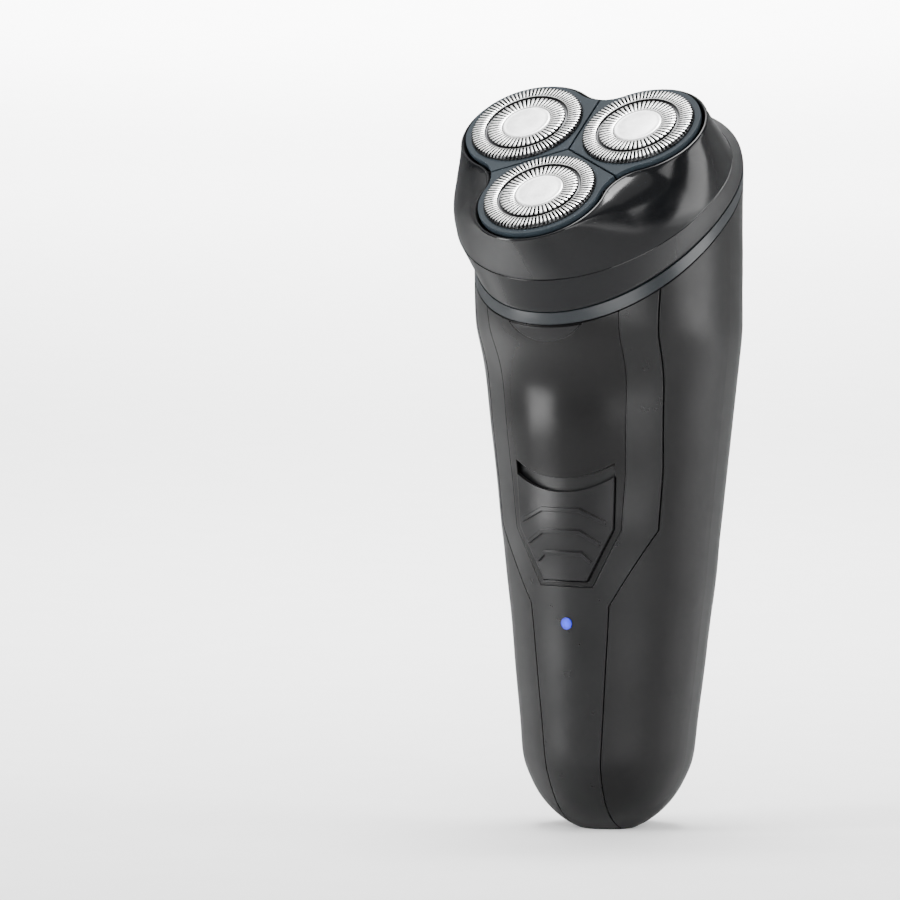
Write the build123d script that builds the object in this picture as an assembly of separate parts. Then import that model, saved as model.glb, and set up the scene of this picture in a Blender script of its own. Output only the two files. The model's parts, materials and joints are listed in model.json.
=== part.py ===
from build123d import *
import math
import os

# Rotary electric shaver with three floating guards on a tilted, hinged head shell.
#
# The front of the handle faces -Y and +X is to the right of somebody who looks at the front.
# The origin is on the flat rest face under the handle. The head pieces are built in a frame of
# their own, with its origin at the middle of the three guard faces and its Z along their axis.

# Handle
CAP_HEIGHT = 23.0            # height of the rounded lower end
CAP_RADIUS = 19.6            # half-width where the rounded end meets the taper
FACET_RADIUS = 6.2           # half-width of the flat rest face
TAPER = 0.109                # growth of the half-width per unit of height
TOP_HALF_WIDTH = 29.0
DEPTH_RATIO = 0.92           # half-depth over half-width
BASE_DRIFT = 2.0             # how far forward the lower end's middle lies
DRIFT_HEIGHT = 50.0
FLARE = 6.0                  # how far the front swells under the head
FLARE_START = 98.0
FLARE_LENGTH = 18.0
WALL = 2.0
SEAM = 0.15                  # half of the groove between two casings
PANEL_THICKNESS = 1.1
FACET_LIFT = CAP_HEIGHT * (1 - math.sqrt(1 - (FACET_RADIUS / CAP_RADIUS) ** 2))

# Head
HEAD_TILT = 35.0
HEAD_CENTRE = (0.0, -20.4, 149.5)
HEAD_RADIUS = 15.75          # from the middle of the head to the middle of a guard
GUARD_ANGLES = (270.0, 30.0, 150.0)
GUARD_RADIUS = 12.5
PLATE_LOBE = 13.9            # lobe radius of the three carriers together
POCKET_LOBE = 14.5
LIP_LOBE = 15.5
NOTCH_ROUND = 10.0
SLIT = 0.5
FLOAT = 1.2                  # how far a guard can be pressed down
PLATE_TOP = -0.9             # level of the carriers' plate
PLATE_THICKNESS = 1.1
SKIRT_BASE = -3.9
FLANGE_BASE = -4.5           # underside of the guards
FLANGE_RADIUS = 12.9
LIP_LEVEL = -1.7
CREASE_LEVEL = -14.5
CREASE_WIDTH = 31.2
CREASE_MIDDLE = 6.2
CREASE_FRONT = 34.8
CREASE_REAR = 26.8
DOME_POWER = 1.5              # roundness of the shell's shoulders: 1 is straight, 2 is round
SHELL_BASE = -22.0
SHELL_WALL = 1.3
RING_TOP = -22.3
RING_BASE = -24.6
RING_WALL = 2.8
HANDLE_TOP = -24.9
DECK_TOP = -18.6
DECK_SKIN = 1.0
FLOOR_TOP = -22.4
BASE_PLATE_TOP = -23.5
MOTOR_TOP = -24.7
MOTOR_RADIUS = 10.0
MOTOR_LENGTH = 22.0

# Gears
MODULE = 0.5
PINION_TEETH = 23
GEAR_TEETH = 40
PRESSURE_ANGLE = 20.0
BACKLASH = 0.10
GEAR_TOP = -20.0
GEAR_BASE = -22.2
SHAFT_RADIUS = 1.0

# Switch, light and button
SWITCH_TRAVEL = 2.6
SWITCH_TOP = 78.3
SWITCH_DIP = 3.5
SWITCH_GAP = 0.25
SWITCH_RISE = 0.45
CHEVRON_RISE = 1.05
LED_HEIGHT = 46.0
LENS_RADIUS = 1.3
BUTTON_HALF_WIDTH = 8.5
BUTTON_DROP = 3.4

# Hinge at the rear of the head
HINGE_REACH = 41.3
HINGE_LEVEL = -22.15
HINGE_KNUCKLE = 2.3
HINGE_PIN_RADIUS = 1.0
KNUCKLE_HALF = 3.2            # half-length of the head's knuckle
HINGE_HALF = 6.8              # half-length of the pin

# Inside the handle
BATTERY_RADIUS = 7.0
BATTERY_LENGTH = 50.0
BATTERY_BASE = 18.0
BATTERY_Y = 5.0
BOARD_FRONT = -11.4
BOARD_THICKNESS = 1.2
CHASSIS_FRONT = -5.4
CHASSIS_THICKNESS = 1.6
SOCKET_Y = -2.7
SOCKET_WIDTH = 8.9
SOCKET_DEPTH = 3.2
SOCKET_LENGTH = 7.3
LEAD_RADIUS = 0.45

FAR = 60.0
HEAD_PLANE = Plane(
    origin=HEAD_CENTRE,
    x_dir=(1, 0, 0),
    z_dir=(0, -math.sin(math.radians(HEAD_TILT)), math.cos(math.radians(HEAD_TILT))),
)
HEAD_FRAME = HEAD_PLANE.location
parts = {}


# ---------------------------------------------------------------- shape helpers

def disc(radius, bottom, top, x=0.0, y=0.0):
    """An upright cylinder between two levels."""
    return Pos(x, y, bottom) * Cylinder(radius, top - bottom, align=(Align.CENTER, Align.CENTER, Align.MIN))


def tube(outer, inner, bottom, top, x=0.0, y=0.0):
    """An upright tube between two levels."""
    return disc(outer, bottom, top, x, y) - disc(inner, bottom - 1, top + 1, x, y)


def block(x_range, y_range, z_range):
    """A box between two values on each axis."""
    size = [high - low for low, high in (x_range, y_range, z_range)]
    middle = [(high + low) / 2 for low, high in (x_range, y_range, z_range)]
    return Pos(*middle) * Box(*size)


def turned(profile):
    """A solid turned about Z from a closed outline of (radius, height) points."""
    return revolve(Plane.XZ * make_face(Polyline(*profile, close=True)), Axis.Z)


def lobe_place(index):
    """Where the middle of a guard lies in the head's frame."""
    angle = math.radians(GUARD_ANGLES[index])
    return Pos(HEAD_RADIUS * math.cos(angle), HEAD_RADIUS * math.sin(angle), 0)


def solid_of(shape):
    """The largest solid of a result, without slivers."""
    return max(shape.solids(), key=lambda piece: piece.volume)


# ---------------------------------------------------------------- the handle's outer form

def half_width(height, inset=0.0):
    """Half the handle's width at a height, for a surface set in by inset."""
    rise = height + FACET_LIFT
    if rise < CAP_HEIGHT:
        drop = (CAP_HEIGHT - rise) / (CAP_HEIGHT - inset)
        return (CAP_RADIUS - inset) * math.sqrt(max(0.0, 1 - drop ** 2))
    return min(CAP_RADIUS + TAPER * (rise - CAP_HEIGHT), TOP_HALF_WIDTH) - inset


def middle_y(height):
    """Where the handle's middle lies, front to back."""
    return -BASE_DRIFT * max(0.0, 1 - height / DRIFT_HEIGHT)


def front_swell(height):
    """How far the front stands out under the head."""
    share = min(1.0, max(0.0, (height - FLARE_START) / FLARE_LENGTH))
    return FLARE * share * share * (3 - 2 * share)


def depths(height, inset=0.0):
    """The handle's front and rear half-depths at a height."""
    side = DEPTH_RATIO * (half_width(height, inset) + inset) - inset
    if height + FACET_LIFT < CAP_HEIGHT:
        side = DEPTH_RATIO * half_width(height, inset)
    return side + front_swell(height), side


def handle_wire(height, inset=0.0):
    """The handle's section at a height: two half ellipses that meet at the sides."""
    front, rear = depths(height, inset)
    width = half_width(height, inset)
    plane = Plane(origin=(0, middle_y(height), height))
    rear_edge = Edge.make_ellipse(width, rear, plane, 0, 180)
    front_edge = Edge.make_ellipse(width, front, plane, 180, 360)
    return Wire([rear_edge, front_edge])


def handle_form(inset=0.0):
    """The handle's whole form, set in from its surface, before the head's plane cuts it."""
    lowest = max(0.0, inset - FACET_LIFT + 0.25)
    heights = [lowest, lowest + 1.0, lowest + 2.6, lowest + 4.8, lowest + 7.6]
    heights += [12, 16.5, 22, 29, 38, 49, 61, 73, 84, 93, 100, 106, 112, 119, 127, 136, 147, 160]
    return Solid.make_loft([handle_wire(height, inset) for height in heights])


def below(level):
    """A large block under a level of the head's frame."""
    return HEAD_FRAME * block((-FAR, FAR), (-2 * FAR, 2 * FAR), (level - 4 * FAR, level))


def slab(bottom, top):
    """A large slab between two levels of the head's frame."""
    return HEAD_FRAME * block((-FAR, FAR), (-2 * FAR, 2 * FAR), (bottom, top))


def front_prism(points, start=-6.0):
    """A prism towards the front, over a closed outline of (x, height) points."""
    face = Plane.XZ * make_face(Polyline(*points, close=True))
    return Pos(0, start, 0) * extrude(face, FAR, dir=(0, -1, 0))


def mirrored(points):
    """A closed outline from its right-hand points, listed from bottom to top."""
    return list(points) + [(-x, height) for x, height in reversed(points)]


def strip_outline(grow=0.0):
    """The parting line between the front and the rear casing."""
    points = [(5.3, -3), (9.5, 50), (19.1, 66.5), (20.4, 80), (23.6, 135)]
    return mirrored([(x + grow, height) for x, height in points])


def panel_outline(grow=0.0):
    """The edge of the front panel."""
    points = [(6.3, 54.2 - grow), (12.7, 66.5), (14.0, 80), (17.2, 135)]
    return mirrored([(x + grow, height) for x, height in points])


def switch_face(grow=0.0, lift=0.0):
    """The shield outline of the power switch, with a dished top edge."""
    right = 11.9 + grow
    top = SWITCH_TOP + lift
    low = [(-right, top), (-11.3 - grow, 66.8), (-5.2 - grow, 55.5 - grow)]
    edge = Polyline(*low, *[(-x, height) for x, height in reversed(low)])
    dished = ThreePointArc((right, top), (0, top - SWITCH_DIP), (-right, top))
    return make_face(edge + dished)


def switch_prism(grow=0.0, lift=0.0):
    """The power switch's outline, carried towards the front."""
    return Pos(0, -6, 0) * extrude(Plane.XZ * switch_face(grow, lift), FAR, dir=(0, -1, 0))


def half_moon(grow=0.0):
    """The release button's outline, carried through the front in the head's frame."""
    wide = BUTTON_HALF_WIDTH + 2.4 * grow
    drop = BUTTON_DROP + grow
    top = HANDLE_TOP - 0.35 + grow
    edge = Line((-wide, top), (wide, top)) + ThreePointArc((wide, top), (0, top - drop), (-wide, top))
    face = Plane.XZ * make_face(edge)
    return Pos(0, -22, 0) * extrude(face, 16, dir=(0, -1, 0))


# ---------------------------------------------------------------- the head's outlines

def notch_reach(lobe, notch):
    """How far the middle of a notch's round lies from the middle of the head."""
    return (HEAD_RADIUS + math.sqrt(4 * (lobe + notch) ** 2 - 3 * HEAD_RADIUS ** 2)) / 2


def trefoil_face(lobe, notch=NOTCH_ROUND):
    """Three lobes joined by rounded notches."""
    reach = notch_reach(lobe, notch)
    middles = [Vector(HEAD_RADIUS, 0).rotate(Axis.Z, angle) for angle in GUARD_ANGLES]
    notches = [Vector(reach, 0).rotate(Axis.Z, angle + 60) for angle in GUARD_ANGLES]
    edges = []
    for index in range(3):
        middle = middles[index]
        after = notches[index]
        before = notches[index - 1]
        ahead = middles[(index + 1) % 3]
        start = middle + (before - middle).normalized() * lobe
        stop = middle + (after - middle).normalized() * lobe
        joint = ahead + (after - ahead).normalized() * lobe
        edges.append(ThreePointArc(start, middle + middle.normalized() * lobe, stop))
        edges.append(ThreePointArc(stop, after - after.normalized() * notch, joint))
    return make_face(edges)


def trefoil(lobe, bottom, top, notch=NOTCH_ROUND):
    """A prism of the trefoil between two levels."""
    return Pos(0, 0, bottom) * extrude(trefoil_face(lobe, notch), top - bottom)


def trefoil_radius(angle, lobe, notch=NOTCH_ROUND):
    """The trefoil's reach in one direction."""
    off = (angle - GUARD_ANGLES[0] + 60) % 120 - 60
    reach = notch_reach(lobe, notch)
    turn = math.radians(abs(off))
    side = math.radians(60 - abs(off))
    edge = math.asin(math.sin(math.radians(60)) * reach / (lobe + notch))
    tangent = math.atan2(lobe * math.sin(edge), HEAD_RADIUS - lobe * math.cos(edge))
    if turn > tangent:
        return reach * math.cos(side) - math.sqrt(max(0.0, notch ** 2 - (reach * math.sin(side)) ** 2))
    return HEAD_RADIUS * math.cos(turn) + math.sqrt(lobe ** 2 - (HEAD_RADIUS * math.sin(turn)) ** 2)


def handle_cut(level, angle, inset=0.0):
    """A point of the handle's form on a level of the head's frame."""
    tilt = math.radians(HEAD_TILT)
    origin_y = HEAD_CENTRE[1] - level * math.sin(tilt)
    origin_z = HEAD_CENTRE[2] + level * math.cos(tilt)
    turn = math.radians(angle)
    height = origin_z
    for _ in range(40):
        front, rear = depths(height, inset)
        depth = rear if math.sin(turn) > 0 else front
        y = middle_y(height) + depth * math.sin(turn)
        height = origin_z + (y - origin_y) * math.tan(tilt)
    return half_width(height, inset) * math.cos(turn), (y - origin_y) / math.cos(tilt)


def shell_wire(level, inset=0.0):
    """The head shell's section between its lip and its crease, fullest beside the front guard."""
    fall = (LIP_LEVEL - level) / (LIP_LEVEL - CREASE_LEVEL)
    points = []
    for angle in range(0, 360, 10):
        turn = math.radians(angle)
        from_front = math.radians(abs((angle - 90) % 360 - 180))
        fullness = max(0.0, math.sin(min(math.pi, 1.5 * from_front)))
        domed = (1 - (1 - fall) ** DOME_POWER) ** (1 / DOME_POWER)
        share = (1 - fullness) * fall + fullness * domed
        lobe_reach = trefoil_radius(angle, LIP_LOBE) - inset
        depth = (CREASE_REAR if math.sin(turn) > 0 else CREASE_FRONT) - inset
        wide = (CREASE_WIDTH - inset) * math.cos(turn)
        deep = CREASE_MIDDLE + depth * math.sin(turn)
        x = (1 - share) * lobe_reach * math.cos(turn) + share * wide
        y = (1 - share) * lobe_reach * math.sin(turn) + share * deep
        points.append((x, y, level))
    return Wire([Edge.make_spline(points, periodic=True)])


def skirt_wire(level, inset=0.0):
    """The head shell's section between its crease and the ring."""
    share = (CREASE_LEVEL - level) / (CREASE_LEVEL - SHELL_BASE)
    points = []
    for angle in range(0, 360, 10):
        turn = math.radians(angle)
        depth = (CREASE_REAR if math.sin(turn) > 0 else CREASE_FRONT) - inset
        wide = (CREASE_WIDTH - inset) * math.cos(turn)
        deep = CREASE_MIDDLE + depth * math.sin(turn)
        low_x, low_y = handle_cut(SHELL_BASE, angle, inset)
        points.append(((1 - share) * wide + share * low_x, (1 - share) * deep + share * low_y, level))
    return Wire([Edge.make_spline(points, periodic=True)])


def head_form(inset=0.0, top=LIP_LEVEL, bottom=SHELL_BASE):
    """The head shell's whole form: a flared upper part over a nearly straight skirt."""
    span = top - CREASE_LEVEL
    levels = [top - span * share for share in (0, 0.12, 0.28, 0.5, 0.75, 1)]
    upper = Solid.make_loft([shell_wire(level, inset) for level in levels])
    lower = Solid.make_loft([skirt_wire(CREASE_LEVEL, inset), skirt_wire(bottom, inset)], ruled=True)
    return upper + lower


# ---------------------------------------------------------------- casings

def make_casings():
    """The handle's shells, the front panel and the pieces set into them."""
    outer = handle_form()
    inner = handle_form(WALL)
    under_panel = handle_form(PANEL_THICKNESS)
    handle = outer & below(HANDLE_TOP)
    shell = handle - inner
    port = Pos(0, SOCKET_Y, 0) * extrude(
        Pos(0, 0, -1) * RectangleRounded(SOCKET_WIDTH + 0.3, SOCKET_DEPTH + 0.3, 1.4), 8)
    moon = HEAD_FRAME * half_moon(0.25)
    stem_slot = block((-2.1, 2.1), (-FAR, -6), (60.8, 72.2))
    lens_hole = Pos(0, -6, LED_HEIGHT) * Rot(90, 0, 0) * disc(LENS_RADIUS + 0.05, 0, 40)
    recess = (outer - under_panel) & front_prism(panel_outline(SEAM))
    front = shell & front_prism(strip_outline(-SEAM))
    front = front - recess - moon - stem_slot - lens_hole
    rear = shell - front_prism(strip_outline(SEAM), start=-6.0 + SEAM)
    rear = rear - port
    panel = (handle - under_panel) & front_prism(panel_outline(0))
    opening = switch_prism(SWITCH_GAP) + switch_prism(SWITCH_GAP, SWITCH_TRAVEL + 0.4)
    panel = panel - opening - moon
    parts["front_housing"] = solid_of(front - port)
    parts["rear_housing"] = solid_of(rear)
    parts["front_panel"] = solid_of(panel)
    make_switch(handle_form(-SWITCH_RISE), handle_form(-CHEVRON_RISE), handle_form(0.85))
    make_ring(outer)
    make_button(outer)


def chevron(level):
    """One raised bar of the switch: flat in the middle, with two falling ends."""
    reach = 9.9 - (SWITCH_TOP - level - 8) * 0.28
    top = [(-reach, level - 2.7), (-4.6, level), (4.6, level), (reach, level - 2.7)]
    low = [(x, height - 0.9) for x, height in reversed(top)]
    return front_prism(top + low)


def make_switch(top_form, raised_form, under_form):
    """The power switch, its stem and the small slider that it pushes."""
    plate = (top_form - under_form) & switch_prism()
    bars = (raised_form - under_form) & (chevron(71.4) + chevron(66.6) + chevron(61.8)) & switch_prism(-0.7)
    stem = block((-1.6, 1.6), (-24, -15.8), (62.6, 67.4)) & handle_form(0.6)
    lever = block((-0.75, 0.75), (-17.6, BOARD_FRONT - 3.75), (64.2, 65.8))
    parts["power_switch"] = solid_of(plate + bars + stem - lever)
    parts["slide_switch_lever"] = lever


def hinge_round(radius, low, high):
    """A cylinder along the hinge's axis, in the head's frame."""
    return Pos(low, HINGE_REACH, HINGE_LEVEL) * Rot(0, 90, 0) * disc(radius, 0, high - low)


def make_ring(outer):
    """The thin ring between the handle and the head, with two hinge knuckles behind."""
    band = outer & slab(RING_BASE, RING_TOP)
    ring = band - handle_form(RING_WALL)
    ring = solid_of(ring)
    ring = ring - HEAD_FRAME * hinge_round(HINGE_KNUCKLE + 0.3, -KNUCKLE_HALF - 0.3, KNUCKLE_HALF + 0.3)
    for side in (-1, 1):
        low, high = sorted((side * (KNUCKLE_HALF + 0.3), side * HINGE_HALF))
        web = block((low, high), (HINGE_REACH - 2.4, HINGE_REACH), (RING_BASE, RING_TOP))
        ring = ring + HEAD_FRAME * (web + hinge_round(HINGE_KNUCKLE, low, high))
    pin = hinge_round(HINGE_PIN_RADIUS, -HINGE_HALF, HINGE_HALF)
    parts["collar_ring"] = solid_of(ring - HEAD_FRAME * pin)
    parts["hinge_pin"] = HEAD_FRAME * pin


def make_button(outer):
    """The half-moon release button, with a tongue that reaches inside."""
    cap = (HEAD_FRAME * half_moon()) & outer & HEAD_FRAME * block((-20, 20), (-60, -27.2), (-40, -20))
    tongue = HEAD_FRAME * block((-3, 3), (-27.6, -24.5), (-27.4, -25.9))
    parts["release_button"] = solid_of(cap + tongue)


# ---------------------------------------------------------------- head pieces

def make_head_shell():
    """The hinged head shell: pocket for the carriers, ribs for the frame, one knuckle behind."""
    shell = head_form() - head_form(SHELL_WALL, top=LIP_LEVEL - 1.6, bottom=SHELL_BASE)
    shell = shell - trefoil(POCKET_LOBE, PLATE_TOP - PLATE_THICKNESS - FLOAT - 0.3, 1.0, NOTCH_ROUND - 0.6)
    form = head_form(0.8)
    for angle in GUARD_ANGLES:
        rib = Rot(0, 0, angle + 60) * block((17.2, 25), (-1.5, 1.5), (-7.6, -3.9))
        shell = shell + (rib & form)
    along = Vector(-0.77, 0.64)
    inward = Vector(-0.64, -0.77)
    start = Vector(HINGE_REACH, HINGE_LEVEL) - inward * 0.5
    corners = [start, start + along * 4.6, start + along * 4.6 + inward * 1.8, start + inward * 1.8]
    side = Plane.YZ * make_face(Polyline(*corners, close=True))
    web = extrude(side, KNUCKLE_HALF, both=True)
    barrel = hinge_round(HINGE_KNUCKLE, -KNUCKLE_HALF, KNUCKLE_HALF)
    bore = hinge_round(HINGE_PIN_RADIUS + 0.06, -HINGE_HALF, HINGE_HALF)
    shell = shell - hinge_round(HINGE_KNUCKLE + 0.3, -HINGE_HALF - 0.3, HINGE_HALF + 0.3)
    parts["head_shell"] = HEAD_FRAME * solid_of(shell + web + barrel - bore)


def make_carrier(index):
    """One third of the blue-grey plate, with the skirt that guides its guard."""
    angle = math.radians(GUARD_ANGLES[index])
    sector = make_face(Polyline(
        (0, 0),
        (60 * math.cos(angle - math.pi / 3), 60 * math.sin(angle - math.pi / 3)),
        (120 * math.cos(angle), 120 * math.sin(angle)),
        (60 * math.cos(angle + math.pi / 3), 60 * math.sin(angle + math.pi / 3)),
        close=True,
    ))
    shift = SLIT / 2 / math.sin(math.pi / 3)
    sector = Pos(shift * math.cos(angle), shift * math.sin(angle)) * sector
    under = PLATE_TOP - PLATE_THICKNESS
    plate = Pos(0, 0, under) * extrude(trefoil_face(PLATE_LOBE) & sector, PLATE_THICKNESS)
    skirt = disc(GUARD_RADIUS + 0.6, SKIRT_BASE, under)
    bore = disc(GUARD_RADIUS + 0.03, -10, 5)
    carrier = plate + lobe_place(index) * skirt - lobe_place(index) * bore
    parts[f"carrier_{index + 1}"] = HEAD_FRAME * solid_of(carrier)


def make_guard(index):
    """A steel guard: two raised tracks, a groove between them and a flange below."""
    wall = 0.35
    rim = GUARD_RADIUS
    outline = [
        (0, -0.45), (5.5, -0.45), (5.5, 0), (8.75, 0), (8.75, -0.6), (9.35, -0.6), (9.35, 0), (rim - 0.5, 0),
        (rim - 0.15, -0.15), (rim, -0.5), (rim, SKIRT_BASE), (FLANGE_RADIUS, SKIRT_BASE),
        (FLANGE_RADIUS, FLANGE_BASE), (rim - wall, FLANGE_BASE),
        (rim - wall, -0.6), (rim - 0.65, -wall), (9.35 + wall, -wall), (9.35 + wall, -0.6 - wall),
        (8.75 - wall, -0.6 - wall), (8.75 - wall, -wall), (5.5 + wall, -wall), (5.5 + wall, -0.45 - wall),
        (0, -0.45 - wall),
    ]
    parts[f"guard_{index + 1}"] = HEAD_FRAME * (lobe_place(index) * turned(outline))
    cap = chamfer(disc(5.4, -0.45, 0.1).edges().group_by(Axis.Z)[-1], 0.2)
    parts[f"guard_cap_{index + 1}"] = HEAD_FRAME * (lobe_place(index) * cap)


def make_cutter(index):
    """A cutter: a disc on a hub with twelve raised blades and a square socket."""
    cutter = disc(11.7, -3.5, -2.7) + disc(3.2, -6.6, -3.5)
    for step in range(12):
        blades = block((9.95, 11.7), (-0.5, 0.5), (-2.7, -0.5)) + block((6.1, 8.2), (-0.5, 0.5), (-2.7, -0.5))
        cutter = cutter + Rot(0, 0, 30 * step) * blades
    for step in range(6):
        cutter = cutter - Rot(0, 0, 60 * step + 15) * disc(1.1, -4, -2, 5.6)
    cutter = cutter - block((-1.72, 1.72), (-1.72, 1.72), (-7, -3.9))
    parts[f"cutter_{index + 1}"] = HEAD_FRAME * (lobe_place(index) * cutter)


def make_retaining_frame():
    """The plate that holds the cutters in, and the knob that locks it."""
    frame = disc(4.4, -9.3, -7.9)
    for index, angle in enumerate(GUARD_ANGLES):
        frame = frame + lobe_place(index) * disc(12.2, -9.3, -7.9)
        frame = frame + Rot(0, 0, angle + 60) * block((0, 18.6), (-1.8, 1.8), (-9.3, -7.9))
    for index in range(3):
        frame = frame - lobe_place(index) * disc(9.8, -12, -5)
    frame = frame - disc(1.56, -12, -5)
    parts["retaining_frame"] = HEAD_FRAME * frame
    knob = disc(4.6, -11.6, -9.5) + disc(1.5, -9.5, -7.6) + disc(2.1, -7.7, -7.2)
    knob = knob + block((-4.3, 4.3), (-0.9, 0.9), (-13.2, -11.6))
    parts["retaining_knob"] = HEAD_FRAME * knob


# ---------------------------------------------------------------- gear train

def involute(angle):
    return math.tan(angle) - angle


def gear_outline(teeth, phase):
    """The outline of a spur gear with involute flanks, with one tooth's middle at phase."""
    pitch = MODULE * teeth / 2
    base = pitch * math.cos(math.radians(PRESSURE_ANGLE))
    root = pitch - 1.2 * MODULE
    tip = pitch + 0.95 * MODULE
    at_pitch = math.pi / (2 * teeth) - BACKLASH / (2 * pitch) + involute(math.radians(PRESSURE_ANGLE))
    start = max(base, root)
    flank = [(root, at_pitch - involute(math.acos(min(1, base / start))))] if root < start else []
    for share in (0, 0.35, 0.7, 1):
        radius = start + (tip - start) * share
        flank.append((radius, at_pitch - involute(math.acos(min(1, base / radius)))))
    points = []
    for tooth in range(teeth):
        middle = math.radians(phase) + 2 * math.pi * tooth / teeth
        for radius, half in flank:
            points.append((radius * math.cos(middle - half), radius * math.sin(middle - half)))
        for radius, half in reversed(flank):
            points.append((radius * math.cos(middle + half), radius * math.sin(middle + half)))
    return points


def gear(teeth, phase, bottom, top):
    """A spur gear between two levels."""
    face = make_face(Polyline(*gear_outline(teeth, phase), close=True))
    return Pos(0, 0, bottom) * extrude(face, top - bottom)


def make_gear(index):
    """A drive gear with the post that its spindle rides on, set in mesh with the pinion."""
    direction = GUARD_ANGLES[index]
    turned_by = (-direction) % (360 / PINION_TEETH)
    gap_at = direction + 180 - turned_by * PINION_TEETH / GEAR_TEETH
    wheel = gear(GEAR_TEETH, gap_at + 180 / GEAR_TEETH, GEAR_BASE, GEAR_TOP)
    for step in range(5):
        wheel = wheel - Rot(0, 0, 72 * step) * disc(1.7, GEAR_BASE - 1, GEAR_TOP + 1, 6.0)
    wheel = wheel + disc(1.3, GEAR_TOP, -11.0) - disc(0.55, GEAR_BASE - 1, -15)
    parts[f"drive_gear_{index + 1}"] = HEAD_FRAME * (lobe_place(index) * wheel)


def make_spindle(index):
    """A spindle: a cup over the gear's post with a square drive tip, and the spring inside."""
    cup = disc(3.0, -17.2, -8.6) - disc(2.35, -18, -9.2)
    tip = block((-1.45, 1.45), (-1.45, 1.45), (-8.6, -4.6))
    parts[f"spindle_{index + 1}"] = HEAD_FRAME * (lobe_place(index) * (cup + tip))
    wire = 0.22
    low = GEAR_TOP + wire
    path = Pos(0, 0, low) * Helix(pitch=1.6, height=-9.2 - wire - low - 0.02, radius=1.85)
    ring = Plane(origin=path @ 0, z_dir=path % 0) * Circle(wire)
    spring = sweep(ring, path=path, is_frenet=True)
    parts[f"spindle_spring_{index + 1}"] = HEAD_FRAME * (lobe_place(index) * spring)


def make_gearbox():
    """The hair-chamber floor over the gears, its seal and the base plate below them."""
    lobe = MODULE * (GEAR_TEETH / 2 + 1) + 0.75
    floor_form = HEAD_FRAME.inverse() * handle_form(RING_WALL + 0.3)
    platform = trefoil(lobe, FLOOR_TOP - 0.1, DECK_TOP, 9.0) & floor_form
    floor = floor_form & block((-FAR, FAR), (-FAR, FAR), (BASE_PLATE_TOP + 0.1, FLOOR_TOP))
    deck = solid_of(floor) + platform
    deck = deck - trefoil(lobe - 0.5, BASE_PLATE_TOP - 1, DECK_TOP - DECK_SKIN, 9.6)
    for index in range(3):
        deck = deck - lobe_place(index) * disc(3.15, DECK_TOP - 5, DECK_TOP + 1)
    base = floor_form & block((-FAR, FAR), (-FAR, FAR), (MOTOR_TOP, BASE_PLATE_TOP))
    base = solid_of(base) - disc(3.2, MOTOR_TOP - 1, BASE_PLATE_TOP + 1)
    for index in range(3):
        post = disc(0.5, BASE_PLATE_TOP, -15.5)
        base = base + lobe_place(index) * post
    screws = []
    for x, y in ((-18.8, -7.4), (18.8, -7.4), (-15.2, 25.2), (15.2, 25.2)):
        screws.append(screw(1.0, 1.8, FLOOR_TOP + 1.0, 6.0, x, y))
    for x in (-6.5, 6.5):
        screws.append(screw(0.8, 1.5, BASE_PLATE_TOP + 0.8, 4.0, x, 0))
    group = Compound(screws)
    for item in screws:
        deck = deck - item
        base = base - item
    seal_outer = HEAD_FRAME.inverse() * (handle_form(3.3) & slab(FLOOR_TOP, FLOOR_TOP + 0.35))
    seal_inner = HEAD_FRAME.inverse() * (handle_form(4.5) & slab(FLOOR_TOP - 1, FLOOR_TOP + 2))
    seal = seal_outer - seal_inner - trefoil(lobe + 0.1, FLOOR_TOP - 1, DECK_TOP, 9.0)
    parts["deck_plate"] = HEAD_FRAME * solid_of(deck)
    parts["gearbox_base"] = HEAD_FRAME * solid_of(base)
    parts["deck_seal"] = HEAD_FRAME * solid_of(seal)
    parts["gearbox_screws"] = HEAD_FRAME * group
    return screws


def screw(radius, head, top, length, x, y):
    """A pan-head screw that points down, with a cross recess."""
    body = disc(head, top - 1.0, top) + disc(radius, top - length, top - 1.0)
    cross = block((-head * 0.6, head * 0.6), (-0.18, 0.18), (top - 0.5, top + 1))
    return Pos(x, y, 0) * (body - cross - Rot(0, 0, 90) * cross)


# ---------------------------------------------------------------- motor

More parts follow.
